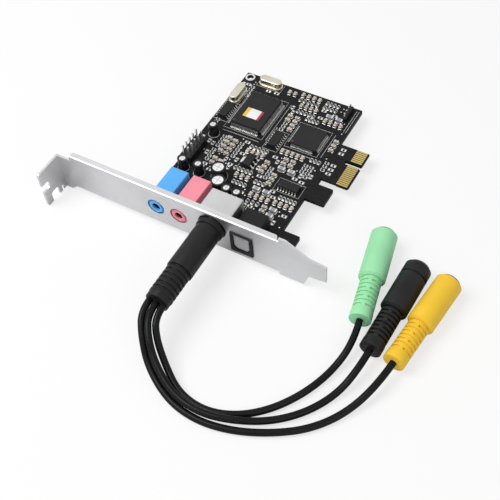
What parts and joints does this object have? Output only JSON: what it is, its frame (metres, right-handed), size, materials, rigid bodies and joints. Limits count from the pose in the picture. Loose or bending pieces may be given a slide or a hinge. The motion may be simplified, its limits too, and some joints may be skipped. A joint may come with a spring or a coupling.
{
  "type": "pci express sound card",
  "caption": "Low-profile PCI Express x1 sound card on a full-height slot bracket, with optical port, panel jacks and a breakout cable to in-line 3.5 mm jacks.",
  "frame": {"origin": "middle of the card's box in X and Y, at the level of its lowest edge, the cable left out", "axes": "+X along the bracket from the screw tab to the tongue, +Y from the bracket to the board's far edge, +Z away from the component side"},
  "size_m": [0.1638, 0.1552, 0.0224],
  "materials": {
    "bracket_steel": "plated sheet, satin",
    "board": "black solder mask on glass laminate",
    "gold": "gold flash",
    "chip_black": "moulded epoxy",
    "tin": "tin plate and solder",
    "can_aluminium": "bright can",
    "sleeve_black": "shrink sleeve",
    "crystal_steel": "drawn can",
    "resistor_black": "glazed ceramic",
    "ceramic_tan": "fired ceramic",
    "ferrite_grey": "ferrite",
    "blue_plastic": "moulded",
    "pink_plastic": "moulded",
    "shield_steel": "plated",
    "black_plastic": "moulded",
    "door_grey": "moulded",
    "cable_black": "soft moulding, satin",
    "green_plastic": "soft moulding, satin",
    "yellow_plastic": "soft moulding, satin",
    "liner_grey": "moulded"
  },
  "bodies": {
    "card": {"amplifier_chip_leads": "tin", "amplifier_chips": "chip_black", "audio_chip": "chip_black", "audio_chip_leads": "tin", "aux_header_base": "black_plastic", "aux_header_pins": "tin", "black_cord": "cable_black", "black_jack_body": "cable_black", "black_jack_liner": "liner_grey", "bracket": "bracket_steel", "bracket_screws": "bracket_steel", "bridge_chip": "chip_black", "bridge_chip_leads": "tin", "capacitor_cans": "can_aluminium", "capacitor_leads": "tin", "capacitor_sleeves": "sleeve_black", "ceramic_capacitors": "ceramic_tan", "chip_end_caps": "tin", "chip_resistors": "resistor_black", "circuit_board": "board", "crystal_cans": "crystal_steel", "crystal_leads": "tin", "door_pin": "shield_steel", "door_spring": "shield_steel", "edge_contacts": "gold", "ferrite_inductors": "ferrite_grey", "green_cord": "cable_black", "green_jack_body": "green_plastic", "green_jack_liner": "liner_grey", "inline_jack_springs": "gold", "line_in_contacts": "tin", "line_in_housing": "blue_plastic", "mic_contacts": "tin", "mic_housing": "pink_plastic", "optical_emitter": "black_plastic", "optical_housing": "black_plastic", "optical_legs": "tin", "panel_header_base": "black_plastic", "panel_header_pins": "tin", "plug_insert": "black_plastic", "plug_overmould": "cable_black", "plug_pins": "gold", "plug_shell": "shield_steel", "regulator": "chip_black", "regulator_legs": "tin", "round_socket_contacts": "tin", "round_socket_core": "black_plastic", "round_socket_shield": "shield_steel", "yellow_cord": "cable_black", "yellow_jack_body": "yellow_plastic", "yellow_jack_liner": "liner_grey"},
    "door": {"optical_door": "door_grey"}
  },
  "joints": [
    {"name": "door_hinge", "type": "hinge", "parent": "card", "child": "door", "pos_m": [0.02509, -0.037, 0.01375], "axis": [1, 0, 0], "range_deg": [0, 80], "stiffness_Nm_per_rad": 0.0002, "springref_deg": -28.65}
  ]
}
